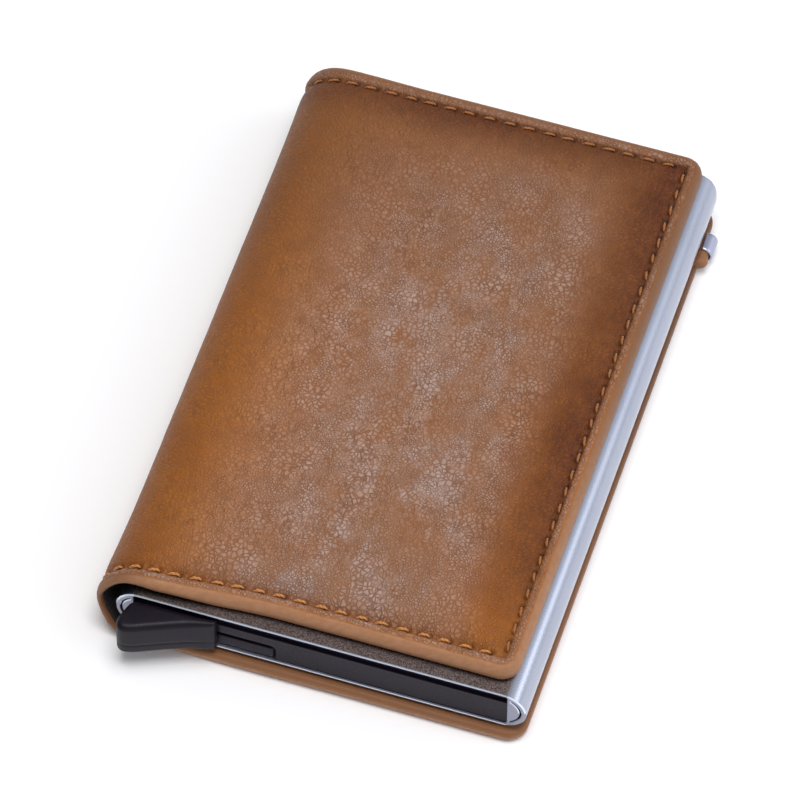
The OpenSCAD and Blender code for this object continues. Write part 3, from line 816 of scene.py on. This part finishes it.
# ---------------------------------------------------------------- aluminium case
def case_mesh():
    """The extruded tube: a flat oval with the card channel and a thin curved hollow in each side."""
    w, t = case_hi[0] - case_lo[0], case_hi[2] - case_lo[2]
    cx, cz = (case_hi[0] + case_lo[0]) / 2, (case_hi[2] + case_lo[2]) / 2
    chan = mm_box("end_plug")[1][0] + 0.05      # half width of the channel, round the plug
    ch_h = t / 2 - 0.42                 # its half height, above; the floor is thicker
    floor_extra = 0.24
    R = t / 2 - 0.1                     # radius of the sides
    side_wall, hollow, rib = 0.75, 0.22, 0.6
    chamfer = 0.2                       # cut rim at both ends: painted highlight on its upper half, painted shade on its lower half
    round_r = 1.1                       # rounding of the far end's corners

    def oval(shrink, n=14):
        r = R - shrink
        W, H = w / 2 - shrink - r, t / 2 - shrink - r
        corners = ((1, 1, 0), (-1, 1, 90), (-1, -1, 180), (1, -1, 270))
        return [p for sx, sz, a0 in corners for p in arc(r, a0, a0 + 90, n, sx * W, sz * H)]

    def channel(shrink, n=4):
        half = chan + shrink
        return rounded(-half, half, -ch_h + floor_extra - shrink, ch_h + shrink, (0.35 - shrink * 0.3,) * 4, n)

    def slit(side, shrink, n=12):
        W = w / 2 - R
        x_min = chan + rib - shrink
        points = []
        for r, turn in ((R - side_wall + shrink, -1), (R - side_wall - hollow - shrink, 1)):
            reach = math.degrees(math.acos(min(1, (x_min - W) / r)))
            points += arc(r, turn * reach, -turn * reach, n - 1, W)
        return [(side * x, z) for x, z in points]

    y0, y1 = case_lo[1], case_hi[1]
    verts, faces, face_mats, leather_reflection_share = [], [], [], []
    ends = ([], [])
    for shape in (oval, channel, lambda s: slit(1, s), lambda s: slit(-1, s)):
        outer = shape is oval
        cut = chamfer if outer else chamfer * 0.7
        rim, body = shape(cut), shape(0)
        n = len(body)
        rings = [(rim, y0), (body, y0 + cut), (body, y1 - cut), (rim, y1)]
        if outer:
            turn_in = [y1 - 1.24 + round_r * math.sin(math.radians(a)) for a in range(0, 90, 15)]
            rings[2:2] = [(body, y) for y in [y0 + 5, y0 + 30] + turn_in]
        last = len(rings) - 1
        start = len(verts)
        for poly, y in rings:
            for x, z in poly:
                verts.append((cx + x, y, cz + z))
                # painted reflection of the leather on the flat faces: full near the mouth, weaker farther along
                leather_reflection_share.append((0.28 + 0.72 * (y < y0 + 6)) * (outer and abs(z) > t / 2 - 0.16))
        faces += bands(last + 1, n, start)
        # upper rims take the copy with painted highlight, lower rims the copy with painted shade
        upper = [1 if body[k][1] + body[(k + 1) % n][1] > 0.8 else 2 for k in range(n)]
        face_mats += upper + [0] * (n * (last - 2)) + upper
        for end, row in zip(ends, (0, last)):
            end.append([start + row * n + k for k in range(n)])
    for loops in ends:
        flat_idx = [i for loop in loops for i in loop]
        polys = [[Vector((verts[i][0], verts[i][2], 0)) for i in loop] for loop in loops]
        for tri in tessellate_polygon(polys):
            faces.append([flat_idx[k] for k in tri])
            mid = sum(verts[flat_idx[k]][0] for k in tri) / 3 - cx
            # end faces round the channel take the painted highlight, the side walls' ends the painted shade
            face_mats.append(1 if abs(mid) < chan else 2)
    verts = np.array(verts)
    past = np.clip(verts[:, 1] - (y1 - round_r - chamfer), 0, round_r) / round_r
    limit = w / 2 - round_r * (1 - np.sqrt(1 - past ** 2))
    verts[:, 0] = np.clip(verts[:, 0], cx - limit, cx + limit)
    ob = make("case", verts, faces, [M_ALU, M_ALU_HIGHLIGHT, M_ALU_SHADE], None, {"flat": leather_reflection_share}, face_mats=face_mats)
    outward(ob)
    bm = bmesh.new()
    bm.from_mesh(ob.data)
    for e in bm.edges:
        e.smooth = len(e.link_faces) == 2 and e.calc_face_angle(0) < math.radians(28)
    bm.to_mesh(ob.data)
    bm.free()
    return ob


case = case_mesh()

# ---------------------------------------------------------------- lever
lv_lo, lv_hi = mm_box("lever")
pivot = [c / MM for c in joints["lever_turn"]["pos_m"]]
LEVER_LOW = 3.65                    # underside of the thumb tab


def thumb_tab():
    """The thumb tab: a soft-edged wedge with a moulding line round it."""
    left, right = lv_lo[0] - 0.45, -15.5
    y_in = case_lo[1] - 0.12
    # plan, from the inner right corner round the left end and back along the thumb's face
    from_left = [(3.4, 0), (1.9, 0.3), (0.9, 1.15), (0.25, 2.6), (0, 3.9), (0.3, 5.0), (1.2, 5.5), (2.6, 5.25),
                 (4.6, 4.4), (7.4, 3.2), (10.2, 2.1)]
    plan = [(right - x, y_in) for x in (0, 3, 7)] + [(left + x, y_in - y) for x, y in from_left]
    plan += [(right - x, y_in - y) for x, y in ((1.1, 1.3), (0.25, 0.95), (0, 0.4))]
    p = np.array(plan)
    m = len(p)
    P = []
    for k in range(m):
        a, b, c, d = p[k - 1], p[k], p[(k + 1) % m], p[(k + 2) % m]
        if k in (m - 1, 0):
            a, d = b, c
        P += [spline(a, b, c, d, t) for t in np.linspace(0, 1, 6, endpoint=False)]
    P = np.array(P)
    P[:, 1] = np.minimum(P[:, 1], y_in)
    n = len(P)
    # rounding of the rims: wider where the tab is wide
    front_y = np.interp(P[:, 0], *np.array(sorted((x, y) for x, y in P if y < y_in - 0.5)).T)
    round_r = np.clip((y_in - front_y) / 2 * 0.92, 0.3, 1.0)
    ahead = np.roll(P, -1, 0)
    tang = ahead - np.roll(P, 1, 0)
    tang /= np.maximum(np.linalg.norm(tang, axis=1), 1e-6)[:, None]
    outer = np.stack([tang[:, 1], -tang[:, 0]], 1)
    if np.sum(P[:, 0] * ahead[:, 1] - ahead[:, 0] * P[:, 1]) < 0:
        outer = -outer
    # profile as (inset, z, dz), with inset and dz in shares of the rounding
    z0, z1 = LEVER_LOW, lv_hi[2]
    seam = z0 + (z1 - z0) * 0.34
    quarter = [math.radians(90 * k / 10) for k in range(11)]
    prof = [(1 - math.sin(a), z0, 1 - math.cos(a)) for a in quarter]
    prof += [(inset, seam + dz, 0) for inset, dz in (
        (0, -0.6), (0, -0.17), (0.03, -0.08), (0.05, 0), (0.03, 0.08), (0, 0.17), (0, 0.6))]
    prof += [(1 - math.cos(a), z1, -(1 - math.sin(a))) for a in quarter]
    verts = []
    for inset, z, dz in prof:
        q = P - outer * (inset * round_r)[:, None]
        zz = z + dz * np.clip(round_r * 1.15, 0.45, 1.0)
        verts += [(q[i, 0], q[i, 1], zz[i]) for i in range(n)]
    faces = bands(len(prof), n)
    for row in (0, len(prof) - 1):
        loop = [Vector((verts[row * n + k][0], verts[row * n + k][1], 0)) for k in range(n)]
        faces += [[row * n + k for k in tri] for tri in tessellate_polygon([loop])]
    ob = make("lever_tab", verts, faces, [M_LEVER])
    outward(ob)
    return ob


tab = thumb_tab()


# the arm: hub on the pivot, a crank to the thumb tab, and one step per card; a fixed ledge lies below the crank
ARM_LOW, STEP_H = 3.95, 6.1 / 5
LEDGE_Z, CRANK_Z = (3.72, 5.8), (5.92, 6.7)
CRANK_HALF = 1.25
hub = slab("lever_hub", arc(3.0, 0, 351, 39, pivot[0], pivot[1]), ARM_LOW, 6.65, [M_LEVER], 0.2)
arm_parts = [hub]
tip = (-22.5, case_lo[1] - 0.6)
span = math.hypot(tip[0] - pivot[0], tip[1] - pivot[1])
side_x, side_y = CRANK_HALF * (pivot[1] - tip[1]) / span, CRANK_HALF * (tip[0] - pivot[0]) / span
front_y = case_lo[1] + 0.45
ledge_outline = rounded(tip[0] + 1.0, pivot[0] + 0.1, front_y, front_y + 1.75, (0.3, 0.3, 0.3, 0.9))
ledge = slab("slot_ledge", ledge_outline, *LEDGE_Z, [M_BLACK], 0.15)
crank_outline = [(pivot[0] + side_x, pivot[1] + side_y), (pivot[0] - side_x, pivot[1] - side_y),
                 (tip[0] - side_x, tip[1] - side_y), (tip[0] + side_x, tip[1] + side_y)]
arm_parts.append(slab("lever_crank", crank_outline, *CRANK_Z, [M_LEVER], 0.15))
for i in range(5):
    reach, top = 22 - 2.5 * i, -38.9 - 0.6 * i
    z0 = ARM_LOW + i * STEP_H
    x0 = pivot[0] + (0.0 if i < 2 else 4.75)        # the upper steps start clear of the crank
    body = rounded(x0, pivot[0] + reach, pivot[1] - 2.8, top, (1.4, 0.3, 0.3, 1.4), 6)
    arm_parts.append(slab(f"lever_step_{i + 1}", body, z0, z0 + STEP_H, [M_LEVER], 0.15))

# ---------------------------------------------------------------- side tab and its clip
st_lo, st_hi = mm_box("side_tab")
tc_lo, tc_hi = mm_box("tab_clip")


TAB_Z = 2.4                         # middle of the tab and of its clip


def end_round(t, length, r):
    """Size of a section at share t of a length, as its ends are rounded with radius r: 0 to 1."""
    from_end = min(t, 1 - t) * length
    return math.sqrt(max(0.0, 1 - (1 - min(from_end / r, 1)) ** 2))


def loop_tab():
    """A folded leather loop that stands out from under the case's side."""
    cx, fold, rows = st_hi[0] - 1.9, 1.2, 30
    y0, y1 = st_lo[1] + 2.1, st_hi[1] - 1.5
    nose = [(x, TAB_Z + z * (0.95 if z < 0 else 1.0)) for x, z in arc(fold, -90, 90, 23, cx)]
    root = st_lo[0] + 0.5
    prof = [(root, TAB_Z - 0.2), (cx - fold, TAB_Z - 0.9)] + nose + [(cx - 1.5, TAB_Z + 0.45), (root, TAB_Z + 0.3)]
    m = len(prof)
    verts = []
    for j in range(rows):
        t = j / (rows - 1)
        k = end_round(t, y1 - y0, fold) * 0.7 + 0.3
        stretch = k * (1 + 0.05 * math.sin(3.1 * t * math.pi + 0.4))
        for x, z in prof:
            past = x - cx + fold
            verts.append((cx - fold + past * (stretch if past > 0 else 1), y0 + (y1 - y0) * t,
                          TAB_Z + (z - TAB_Z) * (0.45 + 0.55 * k)))
    faces = bands(rows, m) + [list(range(m)), [(rows - 1) * m + k for k in reversed(range(m))]]
    # edge paint with painted shade, darker low and dusky, like the covers' edges
    tones = {"paint": 0.85, "low": 0.55, "dusk": 0.4}
    ob = make("side_loop", verts, faces, [M_LEATHER], [(x * 1.3 + z, y) for x, y, z in verts],
              {k: np.full(len(verts), v) for k, v in tones.items()})
    outward(ob)
    return ob


def clip():
    """A bent strip of metal round the tab's end."""
    cx, rows, n = tc_hi[0] - 2.15, 16, 20
    y0, y1 = tc_lo[1] + 1.0, tc_hi[1] - 0.8
    prof = arc(1.55, -98, 98, n - 1) + arc(1.22, 98, -98, n - 1)
    m = len(prof)
    verts = []
    for j in range(rows):
        t = j / (rows - 1)
        k = 0.93 + 0.07 * end_round(t, y1 - y0, 0.35)
        verts += [(cx + x * k, y0 + (y1 - y0) * t, TAB_Z + z * k) for x, z in prof]
    faces = bands(rows, m)
    for a in (0, (rows - 1) * m):
        faces += [(a + k, a + k + 1, a + m - 2 - k, a + m - 1 - k) for k in range(n - 1)]
    ob = make("side_clip", verts, faces, [M_CLIP])
    outward(ob)
    return ob


side_loop = loop_tab()
side_clip = clip()


for ob in (front, front_threads, front_in):
    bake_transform(ob)
for ob in (back, back_threads, back_in):
    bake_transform(ob)
for ob in (pocket_a, pocket_b, board):
    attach(ob, "front_cover")
for ob in (case, ledge, side_loop, side_clip):
    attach(ob, "back")
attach(tab, "lever")
for ob in arm_parts:
    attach(ob, "lever")

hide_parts("front_leather", "spine_leather")
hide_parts("front_thread")
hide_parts("front_lining", "spine_lining")
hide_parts("back_leather")
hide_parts("back_thread")
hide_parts("back_lining")
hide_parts("front_board")
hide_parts("pocket_shallow")
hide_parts("pocket_deep")
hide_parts("case_shell")
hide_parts("lever")
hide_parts("side_tab")
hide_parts("tab_clip")

# ---------------------------------------------------------------- floor, light, camera
FLOOR_HALF, FLOOR_Z = 3000, -0.02
paper = Graph("studio_floor")
white = paper.mix(paper.noise(paper.coord(), 3), lin(246, 246, 247), lin(250, 250, 251))
paper.set(colour=white, rough=0.9, spec=0.1)
corners = [(sx * FLOOR_HALF, sy * FLOOR_HALF, FLOOR_Z) for sx, sy in ((-1, -1), (1, -1), (1, 1), (-1, 1))]
floor = make("floor", corners, [(0, 1, 2, 3)], [paper.mat])


def look_at(ob, target):
    ob.rotation_euler = (Vector(target) - ob.location).to_track_quat("-Z", "Y").to_euler()


def area(name, at, size, power, colour):
    """A rectangular light that faces the wallet."""
    d = bpy.data.lights.new(name, "AREA")
    d.shape = "RECTANGLE"
    d.size, d.size_y = size
    d.energy = power
    d.color = colour
    ob = add_object(name, d)
    ob.location = at
    look_at(ob, (0, 0, 0))


area("key", (0.1, -0.15, 1.3), (0.7, 0.7), 13, (1.0, 0.99, 0.98))
area("side", (1.0, 0.1, 0.5), (1.0, 0.35), 2.6, (0.93, 0.96, 1.0))
area("back", (-0.5, 1.0, 0.5), (0.8, 0.5), 2, (1.0, 0.99, 0.98))

# sky: dark towards -x, light towards +x
world = bpy.data.worlds.new("studio")
world.use_nodes = True
tree = world.node_tree
place, split, ramp = (tree.nodes.new("ShaderNode" + k) for k in ("TexCoord", "SeparateXYZ", "MapRange"))
ramp.interpolation_type = "SMOOTHSTEP"
tree.links.new(place.outputs["Generated"], split.inputs[0])
tree.links.new(split.outputs["X"], ramp.inputs[0])
for i, v in zip((1, 2, 3, 4), (0.05, 0.75, 0.24, 0.95)):
    ramp.inputs[i].default_value = v
background = tree.nodes["Background"]
tree.links.new(ramp.outputs[0], background.inputs[1])
background.inputs[0].default_value = (0.93, 0.95, 1.0, 1)

scene = bpy.context.scene
scene.world = world
scene.view_settings.view_transform = "Standard"
scene.view_settings.look = "None"
scene.view_settings.exposure = 0.0

# camera fitted to the photograph: a long lens from the front right, above
AIM = Vector((-0.00272, -0.00246, 0.008))
AZIMUTH, ELEVATION, DISTANCE = math.radians(17.856), math.radians(55.548), 1.11374
cam = bpy.data.cameras.new("camera")
cam.lens, cam.sensor_width = 341.48, 36
cam.clip_start, cam.clip_end = 0.05, 20
camera = add_object("camera", cam)
flat_reach = math.cos(ELEVATION)
camera.location = AIM + DISTANCE * Vector((
    math.sin(AZIMUTH) * flat_reach, -math.cos(AZIMUTH) * flat_reach, math.sin(ELEVATION)))
look_at(camera, AIM)
scene.camera = camera
